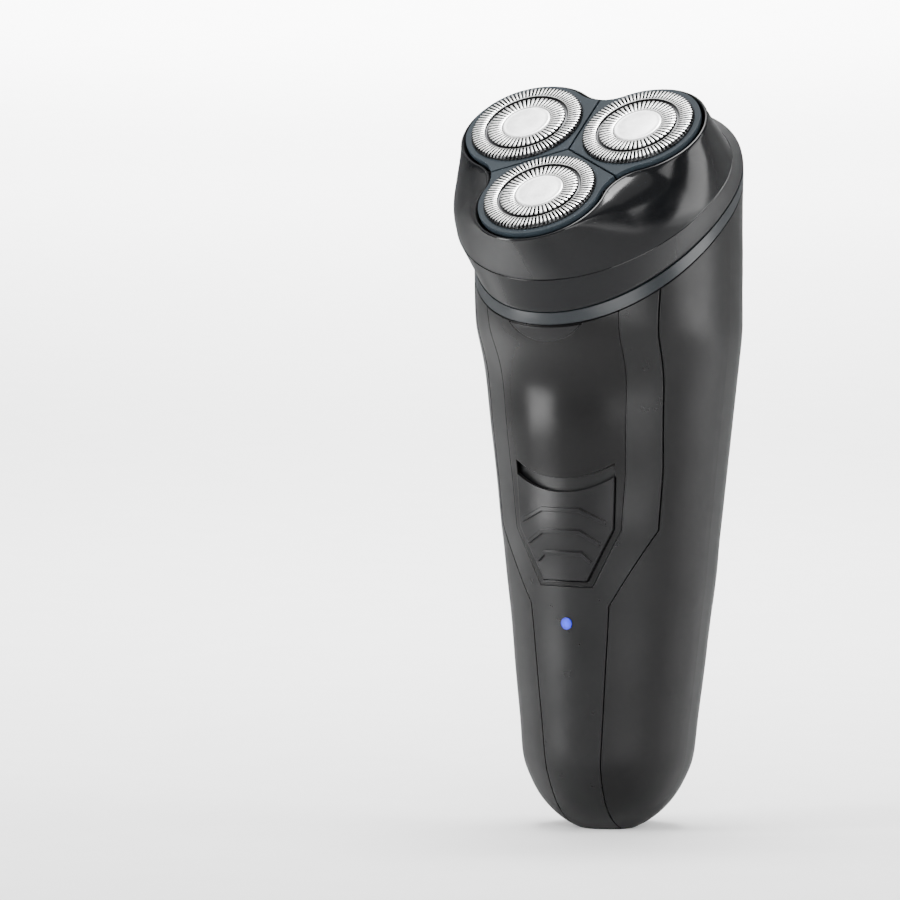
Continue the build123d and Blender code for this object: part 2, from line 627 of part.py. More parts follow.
def make_motor(screws):
    """The motor: can, magnets, armature on its shaft, pinion, bush, end cap and terminals."""
    low = MOTOR_TOP - MOTOR_LENGTH
    can = disc(MOTOR_RADIUS, low, MOTOR_TOP) - disc(MOTOR_RADIUS - 0.8, low - 1, MOTOR_TOP - 0.8)
    can = can - disc(2.5, MOTOR_TOP - 2, MOTOR_TOP + 1)
    for item in screws:
        can = can - item
    ring = tube(MOTOR_RADIUS - 0.8, 7.9, low + 4, MOTOR_TOP - 3)
    magnets = ring - block((-2.5, 2.5), (-20, 20), (low - 1, MOTOR_TOP))
    armature = disc(7.4, low + 5, MOTOR_TOP - 5) - disc(SHAFT_RADIUS, low - 1, MOTOR_TOP)
    for step in range(3):
        slot = block((3.2, 9), (-0.8, 0.8), (low, MOTOR_TOP))
        slot = slot + block((3.2, 6.2), (-2.0, 2.0), (low, MOTOR_TOP))
        armature = armature - Rot(0, 0, 120 * step) * slot
    bush = tube(2.5, SHAFT_RADIUS + 0.03, MOTOR_TOP - 1.6, MOTOR_TOP + 0.6)
    cap = disc(MOTOR_RADIUS - 0.8, low, low + 1.8) + disc(3, low - 1.2, low)
    cap = cap - disc(SHAFT_RADIUS + 0.03, low - 0.6, low + 3)
    terminals = []
    for side in (-1, 1):
        tab = block((side * 5.2 - 1.1, side * 5.2 + 1.1), (-0.25, 0.25), (low - 4.0, low + 0.9))
        terminals.append(tab)
        cap = cap - tab
    shaft = disc(SHAFT_RADIUS, low - 0.5, GEAR_TOP + 0.2)
    pinion = gear(PINION_TEETH, 0, GEAR_BASE - 0.2, GEAR_TOP + 0.2) - disc(SHAFT_RADIUS, -40, 0)
    parts["motor_can"] = HEAD_FRAME * can
    parts["motor_magnets"] = HEAD_FRAME * magnets
    parts["motor_armature"] = HEAD_FRAME * armature
    parts["motor_bush"] = HEAD_FRAME * bush
    parts["motor_end_cap"] = HEAD_FRAME * cap
    parts["motor_terminals"] = HEAD_FRAME * Compound(terminals)
    parts["motor_shaft"] = HEAD_FRAME * shaft
    parts["motor_pinion"] = HEAD_FRAME * pinion


# ---------------------------------------------------------------- inside the handle

def make_lens():
    """The light pipe that ends in the round window under the switch."""
    pipe = Pos(0, -13.2, LED_HEIGHT) * Rot(90, 0, 0) * disc(LENS_RADIUS, 0, 20)
    flange = Pos(0, -15.6, LED_HEIGHT) * Rot(90, 0, 0) * disc(2.1, 0, 1.0)
    parts["led_lens"] = (pipe & handle_form(-0.15)) + flange
    chip = block((-1.0, 1.0), (BOARD_FRONT - 0.9, BOARD_FRONT), (LED_HEIGHT - 0.8, LED_HEIGHT + 0.8))
    parts["led_chip"] = chip


def make_board():
    """The circuit board, its screws and what is soldered to it."""
    back = BOARD_FRONT + BOARD_THICKNESS
    board = block((-8, 8), (BOARD_FRONT, back), (22, 84))
    chassis = block((-10, 10), (CHASSIS_FRONT, CHASSIS_FRONT + CHASSIS_THICKNESS), (14, 88))
    board_screws = []
    for height in (27, 79):
        post = Pos(0, CHASSIS_FRONT, height) * Rot(90, 0, 0) * disc(2.0, 0, CHASSIS_FRONT - back)
        chassis = chassis + post
        item = Pos(0, BOARD_FRONT - 1.0, height) * Rot(90, 0, 0) * screw(0.8, 1.5, 0, 6.0, 0, 0)
        board_screws.append(item)
        board = board - item
        chassis = chassis - item
    for low in (BATTERY_BASE - 2.4, BATTERY_BASE + BATTERY_LENGTH + 0.6):
        wall = block((-6.5, 6.5), (CHASSIS_FRONT + 1, BATTERY_Y + 6), (low, low + 1.6))
        chassis = chassis + wall
    case = block((-2.3, 2.3), (BOARD_FRONT - 3.6, BOARD_FRONT), (60.4, 72.2))
    parts["circuit_board"] = board
    parts["board_screws"] = Compound(board_screws)
    parts["slide_switch_case"] = case
    parts["chassis"] = chassis


def make_battery():
    """The single cell with its two contact plates."""
    cell = fillet(disc(BATTERY_RADIUS, 0, BATTERY_LENGTH - 1).edges(), 0.5)
    cell = cell + disc(2.6, BATTERY_LENGTH - 1, BATTERY_LENGTH)
    parts["battery"] = Pos(0, BATTERY_Y, BATTERY_BASE) * cell
    low = BATTERY_BASE - 0.8
    plate = block((-5, 5), (BATTERY_Y - 5, BATTERY_Y + 5), (low, low + 0.4))
    bump = disc(1.6, low + 0.4, BATTERY_BASE, 0, BATTERY_Y)
    parts["battery_contact_bottom"] = plate + bump
    high = BATTERY_BASE + BATTERY_LENGTH
    parts["battery_contact_top"] = block((-5, 5), (BATTERY_Y - 5, BATTERY_Y + 5), (high, high + 0.6))


def make_socket():
    """The charging socket in the rest face."""
    shape = RectangleRounded(SOCKET_WIDTH, SOCKET_DEPTH, 1.3)
    mouth = RectangleRounded(SOCKET_WIDTH - 0.6, SOCKET_DEPTH - 0.6, 1.0)
    tongue = block((-3.3, 3.3), (-0.35, 0.35), (1.0, SOCKET_LENGTH - 0.8))
    body = Pos(0, 0, 0.2) * extrude(shape, SOCKET_LENGTH) - extrude(Pos(0, 0, 0) * mouth, SOCKET_LENGTH - 0.8)
    parts["usb_socket"] = Pos(0, SOCKET_Y, 0) * (body + tongue)


def tangent_path(points):
    """Straight runs joined by arcs as large as each pair of runs allows."""
    spots = [Vector(*point) for point in points]
    radii = []
    for before, corner, after in zip(spots, spots[1:], spots[2:]):
        turn = math.radians((corner - before).get_angle(after - corner))
        shorter = min((corner - before).length, (after - corner).length)
        radii.append(0.45 * shorter / math.tan(turn / 2))
    print("lead radii:", [round(radius, 1) for radius in radii])
    return FilletPolyline(*spots, radius=radii)


def make_leads():
    """The two insulated leads from the motor's terminals to the board."""
    low = MOTOR_TOP - MOTOR_LENGTH
    for name, side in (("lead_red", 1), ("lead_black", -1)):
        start = HEAD_PLANE.from_local_coords(Vector(side * 5.2, 0, low - 4.0))
        clear = HEAD_PLANE.from_local_coords(Vector(side * 5.2, 0, low - 10.0))
        across = side * 5.5
        points = [
            tuple(start), tuple(clear), (across, 11.8, 96.5), (across, 8.0, 91.8), (across, 2.5, 90.3),
            (across, -3.2, 90.7), (across, -8.0, 87.6), (across, BOARD_FRONT + 0.6, 82.5),
        ]
        path = tangent_path(points)
        ring = Plane(origin=path @ 0, z_dir=path % 0) * Circle(LEAD_RADIUS)
        lead = solid_of(sweep(ring, path=path))
        parts[name] = lead
        parts["circuit_board"] = parts["circuit_board"] - lead


# ---------------------------------------------------------------- build

make_casings()
make_head_shell()
make_retaining_frame()
for number in range(3):
    make_carrier(number)
    make_guard(number)
    make_cutter(number)
    make_gear(number)
    make_spindle(number)
make_motor(make_gearbox())
make_lens()
make_board()
make_battery()
make_socket()
make_leads()

os.makedirs("parts", exist_ok=True)
for name, shape in parts.items():
    export_step(shape, f"parts/{name}.step")
print(len(parts), "nodes")
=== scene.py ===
"""Looks for the rotary electric shaver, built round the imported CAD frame."""
import json
import math

import bmesh
import bpy
from mathutils import Matrix, Vector


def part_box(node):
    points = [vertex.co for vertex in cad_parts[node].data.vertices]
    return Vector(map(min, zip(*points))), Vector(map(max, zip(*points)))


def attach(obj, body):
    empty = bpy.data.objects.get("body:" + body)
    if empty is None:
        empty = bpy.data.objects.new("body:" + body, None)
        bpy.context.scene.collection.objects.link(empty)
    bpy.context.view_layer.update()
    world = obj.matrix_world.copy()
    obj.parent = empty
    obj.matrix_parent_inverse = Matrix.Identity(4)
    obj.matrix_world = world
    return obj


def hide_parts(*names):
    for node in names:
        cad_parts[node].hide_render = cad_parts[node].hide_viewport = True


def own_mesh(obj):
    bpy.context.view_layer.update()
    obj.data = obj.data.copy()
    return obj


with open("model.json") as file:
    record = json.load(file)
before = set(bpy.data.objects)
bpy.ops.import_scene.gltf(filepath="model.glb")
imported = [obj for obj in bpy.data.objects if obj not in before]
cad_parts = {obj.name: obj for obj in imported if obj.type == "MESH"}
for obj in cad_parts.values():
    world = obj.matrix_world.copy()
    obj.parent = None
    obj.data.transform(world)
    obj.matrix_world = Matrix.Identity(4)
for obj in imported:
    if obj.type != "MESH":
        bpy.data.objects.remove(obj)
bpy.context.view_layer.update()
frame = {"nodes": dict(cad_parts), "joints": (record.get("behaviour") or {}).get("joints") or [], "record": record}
nodes = frame["nodes"]

MM = 0.001
AZIMUTH = math.radians(29.0)
ELEVATION = math.radians(4.5)
PICTURE_WIDTH = 196.6 * MM      # what the camera's frame covers at the shaver
LENS = 420.0                     # long, because the real view has hardly any perspective
SENSOR = 36.0
AIM_RIGHT = -35.2 * MM           # what the camera looks at, to its right of the origin and above it
AIM_UP = 82.0 * MM


# ------------------------------------------------------------------ the frame's own places

def joint(name):
    return next(item for item in frame["joints"] if item["name"] == name)


HEAD_AXIS = Vector(joint("motor_spin")["axis"]).normalized()
ACROSS = Vector((1, 0, 0))
REARWARD = HEAD_AXIS.cross(ACROSS)
GUARD_FACE = 3.0 * MM            # from a cutter's joint up to the face of its guard


def head_place(origin):
    """The matrix of a frame with its Z along the head's axis."""
    turn = Matrix((ACROSS, REARWARD, HEAD_AXIS)).transposed().to_4x4()
    return Matrix.Translation(origin) @ turn


def guard_place(number):
    spot = Vector(joint(f"cutter_{number}_spin")["pos_m"])
    return head_place(spot + HEAD_AXIS * GUARD_FACE)


# ------------------------------------------------------------------ mesh helpers

def add_object(name, bm, material, smooth_angle=35.0):
    """Links a finished bmesh as an object, smooth apart from its sharp edges."""
    bmesh.ops.delete(bm, geom=[v for v in bm.verts if not v.link_faces], context="VERTS")
    bmesh.ops.recalc_face_normals(bm, faces=bm.faces)
    mesh = bpy.data.meshes.new(name)
    bm.to_mesh(mesh)
    bm.free()
    mesh.polygons.foreach_set("use_smooth", [True] * len(mesh.polygons))
    mesh.set_sharp_from_angle(angle=math.radians(smooth_angle))
    mesh.materials.append(material)
    item = bpy.data.objects.new(name, mesh)
    bpy.context.scene.collection.objects.link(item)
    return item


def offset_path(path, depth):
    """A path of (radius, height) points moved to its right-hand side by depth."""
    moved = []
    for index, (radius, height) in enumerate(path):
        before = Vector(path[max(0, index - 1)])
        after = Vector(path[min(len(path) - 1, index + 1)])
        along = (after - before).normalized()
        moved.append((radius + along.y * depth, height - along.x * depth))
    return moved


def slotted_sheet(bm, path, slots, parts, first, last, place):
    """A thin turned sheet whose path is cut by radial slots between its points first and last.

    Each slot's share of the circle has so many parts, and the last SLOT_PARTS of them are open.
    """
    count = slots * parts
    under = offset_path(path, SHEET_THICKNESS)
    rings = []
    for line, drop in ((path, SLOT_EDGE_DROP), (under, 0.0)):
        rows = []
        for index, (radius, height) in enumerate(line):
            row = []
            for step in range(count):
                angle = 2 * math.pi * step / count
                edge = step % parts in (0, parts - SLOT_PARTS)
                low = drop if edge and first <= index <= last else 0.0
                spot = Vector((radius * math.cos(angle), radius * math.sin(angle), height - low)) * MM
                row.append(bm.verts.new(place @ spot))
            rows.append(row)
        rings.append(rows)
    top, bottom = rings

    def present(index, step):
        if index < 0 or index >= len(path) - 1:
            return False
        cut = step % parts >= parts - SLOT_PARTS
        return not (cut and first <= index < last)

    def wall(index, step, to_index, to_step):
        """A face down the sheet's thickness, from one of its corners to the next."""
        bm.faces.new((top[index][step], bottom[index][step],
                      bottom[to_index][to_step], top[to_index][to_step]))

    for index in range(len(path) - 1):
        after = index + 1
        for step in range(count):
            if not present(index, step):
                continue
            ahead = (step + 1) % count
            bm.faces.new((top[index][step], top[after][step], top[after][ahead], top[index][ahead]))
            bm.faces.new((bottom[index][ahead], bottom[after][ahead],
                          bottom[after][step], bottom[index][step]))
            if not present(index - 1, step):
                wall(index, ahead, index, step)
            if not present(after, step):
                wall(after, step, after, ahead)
            if not present(index, (step - 1) % count):
                wall(index, step, after, step)
            if not present(index, ahead):
                wall(after, ahead, index, ahead)


def lathe(bm, path, steps, place):
    """A turned solid from a path of (radius, height) points that starts and ends on the axis."""
    rows = []
    for radius, height in path:
        if radius == 0:
            rows.append([bm.verts.new(place @ (Vector((0, 0, height)) * MM))])
            continue
        row = []
        for step in range(steps):
            angle = 2 * math.pi * step / steps
            spot = Vector((radius * math.cos(angle), radius * math.sin(angle), height)) * MM
            row.append(bm.verts.new(place @ spot))
        rows.append(row)
    for upper, lower in zip(rows, rows[1:]):
        for step in range(steps):
            ahead = (step + 1) % steps
            corners = [upper[step % len(upper)], upper[ahead % len(upper)],
                       lower[ahead % len(lower)], lower[step % len(lower)]]
            corners = list(dict.fromkeys(corners))
            bm.faces.new(corners)


# ------------------------------------------------------------------ materials

TONE_SCALE = 60.0                # noise scales per metre: slow drift in tone, and smudges in gloss
SMUDGE_SCALE = 210.0
POLISH_SCALE = 180.0
TRACK_SCALE = 3800.0
EDGE_POINTINESS = (0.52, 0.60)   # where an edge starts to show wear, and where it is fully worn
RIM_FACING = (0.38, 0.72)        # from nearly facing the viewer to nearly edge on
BEVEL_SAMPLES = 6
# Painted shade: the guards' slot walls and groove are coloured dark grey, standing in for the shade inside them.
SLOT_WALL_PAINTED_SHADE = (0.045, 0.046, 0.048, 1)
SLOT_WALL_DEPTH = 0.13 * MM      # below a guard's face, all painted shade from here down
TRACK_DEPTH = 0.03 * MM          # and all bright from here up


def new_material(name):
    material = bpy.data.materials.new(name)
    material.use_nodes = True
    tree = material.node_tree
    shader = tree.nodes["Principled BSDF"]
    return material, tree, shader


def ramp(tree, source, low, high, start=0.35, stop=0.65):
    """Turns a value between start and stop into a colour between two colours."""
    node = tree.nodes.new("ShaderNodeValToRGB")
    node.color_ramp.elements[0].position = start
    node.color_ramp.elements[0].color = (*low, 1)
    node.color_ramp.elements[1].position = stop
    node.color_ramp.elements[1].color = (*high, 1)
    tree.links.new(source, node.inputs["Fac"])
    return node.outputs["Color"]


def noise(tree, scale, detail=3.0):
    """Noise in the object's own coordinates, in metres."""
    coordinates = tree.nodes.new("ShaderNodeTexCoord")
    texture = tree.nodes.new("ShaderNodeTexNoise")
    texture.inputs["Scale"].default_value = scale
    texture.inputs["Detail"].default_value = detail
    tree.links.new(coordinates.outputs["Object"], texture.inputs["Vector"])
    return texture.outputs["Fac"]


def remap(tree, source, low, high, start=0.3, stop=0.7):
    """Turns a value between start and stop into one between low and high."""
    node = tree.nodes.new("ShaderNodeMapRange")
    node.inputs["From Min"].default_value = start
    node.inputs["From Max"].default_value = stop
    node.inputs["To Min"].default_value = low
    node.inputs["To Max"].default_value = high
    tree.links.new(source, node.inputs["Value"])
    return node.outputs["Result"]


def soft_edges(tree, radius):
    """Normals that round the edges between faces, so that they catch the light."""
    node = tree.nodes.new("ShaderNodeBevel")
    node.samples = BEVEL_SAMPLES
    node.inputs["Radius"].default_value = radius
    return node.outputs["Normal"]


def bump(tree, source, strength, distance, below=None):
    """Raises a texture over the normals given, or over the mesh's own."""
    node = tree.nodes.new("ShaderNodeBump")
    node.inputs["Strength"].default_value = strength
    node.inputs["Distance"].default_value = distance
    tree.links.new(source, node.inputs["Height"])
    if below is not None:
        tree.links.new(below, node.inputs["Normal"])
    return node.outputs["Normal"]


def worn(tree, colour, edge, amount):
    """Lightens raised edges, where handling polishes them."""
    geometry = tree.nodes.new("ShaderNodeNewGeometry")
    mask = remap(tree, geometry.outputs["Pointiness"], 0.0, amount, *EDGE_POINTINESS)
    blend = tree.nodes.new("ShaderNodeMix")
    blend.data_type = "RGBA"
    tree.links.new(mask, blend.inputs["Factor"])
    tree.links.new(colour, blend.inputs["A"])
    blend.inputs["B"].default_value = (*edge, 1)
    return blend.outputs["Result"]


def duller_rim(tree, gloss, rim_rough):
    """Spreads the gloss of surfaces seen edge on, as a matt skin does."""
    facing = tree.nodes.new("ShaderNodeLayerWeight")
    share = remap(tree, facing.outputs["Facing"], 0.0, 1.0, *RIM_FACING)
    blend = tree.nodes.new("ShaderNodeMix")
    tree.links.new(share, blend.inputs["Factor"])
    tree.links.new(gloss, blend.inputs["A"])
    blend.inputs["B"].default_value = rim_rough
    return blend.outputs["Result"]


def plastic(name, colour, rough=(0.3, 0.4), grain=5200.0, depth=0.03 * MM, strength=0.25, specular=0.5,
            wear=0.25, mottle=0.14, edge_round=0.25 * MM, rim_rough=0.0):
    """Moulded plastic: fine grain, slow variation in tone and gloss, and paler edges where it wears."""
    material, tree, shader = new_material(name)
    slow = noise(tree, TONE_SCALE, 4.0)
    fine = noise(tree, grain, 2.0)
    dark = tuple(c * (1 - mottle) for c in colour)
    light = tuple(min(1.0, c * (1 + mottle)) for c in colour)
    tone = ramp(tree, slow, dark, light)
    edge = tuple(min(1.0, c * 1.8 + 0.01) for c in colour)
    tree.links.new(worn(tree, tone, edge, wear), shader.inputs["Base Color"])
    smudge = noise(tree, SMUDGE_SCALE, 5.0)
    gloss = remap(tree, smudge, rough[0], rough[1])
    if rim_rough:
        gloss = duller_rim(tree, gloss, rim_rough)
    tree.links.new(gloss, shader.inputs["Roughness"])
    below = soft_edges(tree, edge_round) if edge_round else None
    tree.links.new(bump(tree, fine, strength, depth, below), shader.inputs["Normal"])
    shader.inputs["Specular IOR Level"].default_value = specular
    return material


def metal(name, colour, rough=(0.2, 0.32), grain=2600.0, depth=0.01 * MM, strength=0.3):
    """Bare metal with fine tool marks and uneven polish."""
    material, tree, shader = new_material(name)
    lines = noise(tree, grain)
    slow = noise(tree, POLISH_SCALE)
    tone = ramp(tree, slow, tuple(c * 0.88 for c in colour), tuple(min(1.0, c * 1.06) for c in colour))
    tree.links.new(tone, shader.inputs["Base Color"])
    shader.inputs["Metallic"].default_value = 1.0
    tree.links.new(remap(tree, lines, rough[0], rough[1]), shader.inputs["Roughness"])
    tree.links.new(bump(tree, lines, strength, depth), shader.inputs["Normal"])
    return material


def track_steel(name, colour):
    """Guard steel: bright brushed tracks, with painted shade, a dark grey, down the slots' walls and in the
    groove.
    """
    material, tree, shader = new_material(name)
    face = Vector(joint("cutter_1_spin")["pos_m"]) + HEAD_AXIS * GUARD_FACE
    coordinates = tree.nodes.new("ShaderNodeTexCoord")
    along = tree.nodes.new("ShaderNodeVectorMath")
    along.operation = "DOT_PRODUCT"
    along.inputs[1].default_value = HEAD_AXIS
    tree.links.new(coordinates.outputs["Object"], along.inputs[0])
    level = face.dot(HEAD_AXIS)
    depth = remap(tree, along.outputs["Value"], 0.0, 1.0, level - SLOT_WALL_DEPTH, level - TRACK_DEPTH)
    lines = noise(tree, TRACK_SCALE)
    bright = ramp(tree, lines, tuple(c * 0.90 for c in colour), colour)
    # Painted shade: deeper than the tracks' faces, the colour turns to the dark slot-wall grey.
    blend = tree.nodes.new("ShaderNodeMix")
    blend.data_type = "RGBA"
    tree.links.new(depth, blend.inputs["Factor"])
    blend.inputs["A"].default_value = SLOT_WALL_PAINTED_SHADE
    tree.links.new(bright, blend.inputs["B"])
    tree.links.new(blend.outputs["Result"], shader.inputs["Base Color"])
    shader.inputs["Metallic"].default_value = 1.0
    tree.links.new(remap(tree, lines, 0.22, 0.36), shader.inputs["Roughness"])
    tree.links.new(bump(tree, lines, 0.25, 0.01 * MM), shader.inputs["Normal"])
    return material


def glow(name, middle, core, rim, radius):
    """The lit window of the indicator light: a bright core that deepens towards its rim."""
    material, tree, shader = new_material(name)
    coordinates = tree.nodes.new("ShaderNodeTexCoord")
    away = tree.nodes.new("ShaderNodeVectorMath")
    away.operation = "DISTANCE"
    away.inputs[1].default_value = middle
    tree.links.new(coordinates.outputs["Object"], away.inputs[0])
    share = remap(tree, away.outputs["Value"], 0.0, 1.0, 0.15 * radius, radius)
    tone = ramp(tree, share, core, rim, 0.0, 1.0)
    tree.links.new(tone, shader.inputs["Base Color"])
    tree.links.new(tone, shader.inputs["Emission Color"])
    tree.links.new(remap(tree, share, 0.55, 0.30, 0.0, 1.0), shader.inputs["Emission Strength"])
    shader.inputs["Roughness"].default_value = 0.2
    return material


lens_low, lens_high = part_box("led_lens")
LENS_MIDDLE = Vector(((lens_low[0] + lens_high[0]) / 2, lens_low[1], (lens_low[2] + lens_high[2]) / 2))
LENS_RADIUS = 1.4 * MM

MATERIALS = {
    "body_black": plastic("body_black", (0.0016, 0.0016, 0.0018), (0.30, 0.38), strength=0.12,
                          specular=0.17, wear=0.0, rim_rough=0.6),
    "strip_black": plastic("strip_black", (0.0022, 0.0023, 0.0025), (0.27, 0.34), strength=0.12,
                           specular=0.19, wear=0.0, rim_rough=0.6),
    "panel_black": plastic("panel_black", (0.0008, 0.0008, 0.0009), (0.18, 0.24), strength=0.12,
                           specular=0.17, wear=0.0, rim_rough=0.6),
    "head_black": plastic("head_black", (0.0008, 0.0010, 0.0014), (0.15, 0.21), strength=0.06,
                          specular=0.18, edge_round=0.0, rim_rough=0.65),
    "ring_blue": plastic("ring_blue", (0.0045, 0.0062, 0.0078), (0.30, 0.32), strength=0.1,
                         specular=0.26, wear=0.0, mottle=0.03, edge_round=0.0, rim_rough=0.7),
    "plate_blue": plastic("plate_blue", (0.0085, 0.0128, 0.0165), (0.42, 0.50), specular=0.10),
    "guard_steel": track_steel("guard_steel", (0.90, 0.90, 0.89)),
    "cap_silver": metal("cap_silver", (0.93, 0.93, 0.93), (0.30, 0.42), grain=1500.0),
    # Painted shade: the cutters are coloured near black so that the slots above them read dark, as shade would
    # make them; the cutter steel itself is bright.
    "cutter_steel": metal("cutter_steel", (0.035, 0.035, 0.037), (0.45, 0.6)),
    "switch_black": plastic("switch_black", (0.0022, 0.0022, 0.0025), (0.28, 0.36), specular=0.19,
                            wear=0.0, rim_rough=0.6),
    "inner_grey": plastic("inner_grey", (0.07, 0.07, 0.08), (0.4, 0.55)),
    "knob_grey": plastic("knob_grey", (0.16, 0.17, 0.18), (0.4, 0.5)),
    "gear_white": plastic("gear_white", (0.78, 0.77, 0.72), (0.4, 0.5)),
    "spindle_white": plastic("spindle_white", (0.74, 0.74, 0.72), (0.4, 0.5)),
    "spring_steel": metal("spring_steel", (0.62, 0.62, 0.62)),
    "plain_steel": metal("plain_steel", (0.62, 0.62, 0.62)),
    "can_steel": metal("can_steel", (0.58, 0.58, 0.57)),
    "magnet_dark": plastic("magnet_dark", (0.06, 0.06, 0.06), (0.5, 0.6)),
    "brass": metal("brass", (0.78, 0.60, 0.28)),
    "cap_nylon": plastic("cap_nylon", (0.70, 0.69, 0.65), (0.4, 0.5)),
    "battery_sleeve": plastic("battery_sleeve", (0.03, 0.16, 0.34), (0.2, 0.3)),
    "board_green": plastic("board_green", (0.02, 0.15, 0.06), (0.3, 0.4)),
    "switch_case": plastic("switch_case", (0.03, 0.03, 0.03), (0.4, 0.5)),
    "led_blue": glow("led_blue", LENS_MIDDLE, (0.0, 0.012, 0.60), (0.0, 0.001, 0.25), LENS_RADIUS),
    "seal_rubber": plastic("seal_rubber", (0.03, 0.03, 0.03), (0.6, 0.7)),
    "lead_red": plastic("lead_red", (0.45, 0.02, 0.02), (0.4, 0.5)),
    "lead_black": plastic("lead_black", (0.015, 0.015, 0.015), (0.4, 0.5)),
}


def dress_frame():
    """Gives every CAD node its finished material."""
    for entry in frame["record"]["subparts"]:
        item = nodes[entry["node"]]
        item.data.materials.clear()
        item.data.materials.append(MATERIALS[entry["material_slot"]])


# ------------------------------------------------------------------ guards and caps

# From here to the studio, lengths are in millimetres. A guard's path gives radius and height from its face.
SHEET_THICKNESS = 0.12
SLOT_EDGE_DROP = 0.02            # how far a slot's edges dip, as the punch leaves them
SLOT_PARTS = 3                   # of the parts into which each slot's share of the circle is divided
OUTER_SLOTS = 84
OUTER_PARTS = 5
INNER_SLOTS = 50
INNER_PARTS = 6
CAP_STEPS = 120


def make_guard(number):
    """A guard with its two slotted tracks, in place of the plain CAD one."""
    place = guard_place(number)
    bm = bmesh.new()
    outer = [(9.05, -0.60), (9.32, -0.56), (9.38, -0.12), (9.60, 0.0), (10.4, 0.05), (11.3, 0.05),
             (11.95, 0.0), (12.28, -0.10), (12.44, -0.30), (12.50, -0.70), (12.50, -2.2), (12.50, -4.35),
             (12.90, -4.45)]
    slotted_sheet(bm, outer, OUTER_SLOTS, OUTER_PARTS, 3, 9, place)
    inner = [(5.30, -0.44), (5.46, -0.34), (5.52, -0.08), (5.75, 0.0), (6.6, 0.04), (7.7, 0.04),
             (8.45, 0.0), (8.66, -0.12), (8.74, -0.54), (9.05, -0.60)]
    slotted_sheet(bm, inner, INNER_SLOTS, INNER_PARTS, 3, 7, place)
    guard = add_object(f"slotted_guard_{number}", bm, MATERIALS["guard_steel"])
    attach(guard, f"float_{number}")
    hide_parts(f"guard_{number}")


def make_cap(number):
    """The plain bright disc in a guard's middle, with a rolled rim."""
    bm = bmesh.new()
    path = [(0, 0.10), (2.0, 0.11), (4.2, 0.09), (4.75, 0.04), (4.95, 0.07), (5.20, 0.05), (5.38, -0.06),
            (5.42, -0.30), (5.30, -0.45), (0, -0.45)]
    lathe(bm, path, CAP_STEPS, guard_place(number))
    cap = add_object(f"guard_cap_face_{number}", bm, MATERIALS["cap_silver"])
    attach(cap, f"float_{number}")
    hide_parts(f"guard_cap_{number}")


# ------------------------------------------------------------------ spindle springs

SPRING_RADIUS = 1.85
SPRING_WIRE = 0.22
SPRING_PITCH = 1.6
TURN_STEPS = 36
WIRE_SIDES = 10


def make_spring(number):
    """A spindle's coil spring, built as a fixed coil that moves with its gear; the real spring shortens as its
    guard is pressed, but this mesh does not.
    """
    heights = [vertex.co.dot(HEAD_AXIS) for vertex in nodes[f"spindle_spring_{number}"].data.vertices]
    spot = Vector(joint(f"cutter_{number}_spin")["pos_m"])
    foot = spot + HEAD_AXIS * (min(heights) - spot.dot(HEAD_AXIS))
    place = head_place(foot)
    length = (max(heights) - min(heights)) / MM
    rise = length - 2 * SPRING_WIRE
    steps = round(rise / SPRING_PITCH * TURN_STEPS)
    bm = bmesh.new()
    rows = []
    for step in range(steps + 1):
        turn = 2 * math.pi * step / TURN_STEPS
        out = Vector((math.cos(turn), math.sin(turn), 0))
        centre = out * SPRING_RADIUS + Vector((0, 0, SPRING_WIRE + rise * step / steps))
        row = []
        for side in range(WIRE_SIDES):
            around = 2 * math.pi * side / WIRE_SIDES
            off = out * math.cos(around) + Vector((0, 0, math.sin(around)))
            row.append(bm.verts.new(place @ ((centre + off * SPRING_WIRE) * MM)))
        rows.append(row)
    for row, after in zip(rows, rows[1:]):
        for side in range(WIRE_SIDES):
            ahead = (side + 1) % WIRE_SIDES
            bm.faces.new((row[side], after[side], after[ahead], row[ahead]))
    bm.faces.new(rows[0])
    bm.faces.new(rows[-1])
    spring = add_object(f"spindle_coil_{number}", bm, MATERIALS["spring_steel"], 60.0)
    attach(spring, f"gear_{number}")
    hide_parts(f"spindle_spring_{number}")
    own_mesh(spring)


# ------------------------------------------------------------------ head shell

# Levels are heights in the head's frame, whose origin is in the middle of the guard faces.
HEAD_DEPTH = 21.0                # from the motor's joint up to the guard faces
LOBE_MIDDLE = 15.75              # from the head's middle to the middle of a guard
FRONT_LOBE = 270.0               # the direction of the front lobe, in degrees
POCKET_LOBE = 14.5               # radius of the pocket's lobes, and of the notches between them
POCKET_NOTCH = 9.4
LIP_WIDTH = 0.75
LIP_LEVEL = -1.7
LIP_DROP = 0.25                  # how far below the lip's level the dome starts
DOME_STEPS = 22
CREASE_LEVEL = -14.5
CREASE_WIDTH = 31.2              # the crease's half-width, its middle, and its reach to front and rear
CREASE_MIDDLE = 6.2
CREASE_FRONT = 34.8
CREASE_REAR = 26.8
SHELF = 0.16                     # how far the dome stands back from the skirt's upper edge
SHELL_BASE = -22.0
SHELL_WALL = 1.3
TOP_WIDTH = 29.0                 # the handle's half-width under the head
DEPTH_RATIO = 0.92               # its half-depth over its half-width
FLARE = 6.0                      # how far its front swells out, over a length from a height
FLARE_START = 98.0
FLARE_LENGTH = 18.0
COLLAR_ROUNDS = 30               # enough for the collar's height to settle
HINGE_ROOM = 2.6                 # radius and half-width of the room that the hinge turns in
HINGE_ROOM_HALF = 7.1
KNUCKLE_RADIUS = 2.3
KNUCKLE_HALF = 3.2
KNUCKLE_BORE = 1.06
KNUCKLE_STEPS = 48
SHELL_STEPS = 288
WELD = 0.005                     # points of the shell nearer than this are one
WEB_HALF = (KNUCKLE_HALF, 2.0, 0.8)
WEB_LEAN = math.radians(-39.7)   # it slopes up from the knuckle to the shell's rear wall
WEB_PLACE = (-2.483, 1.556)      # its middle, rearward and up from the hinge's axis
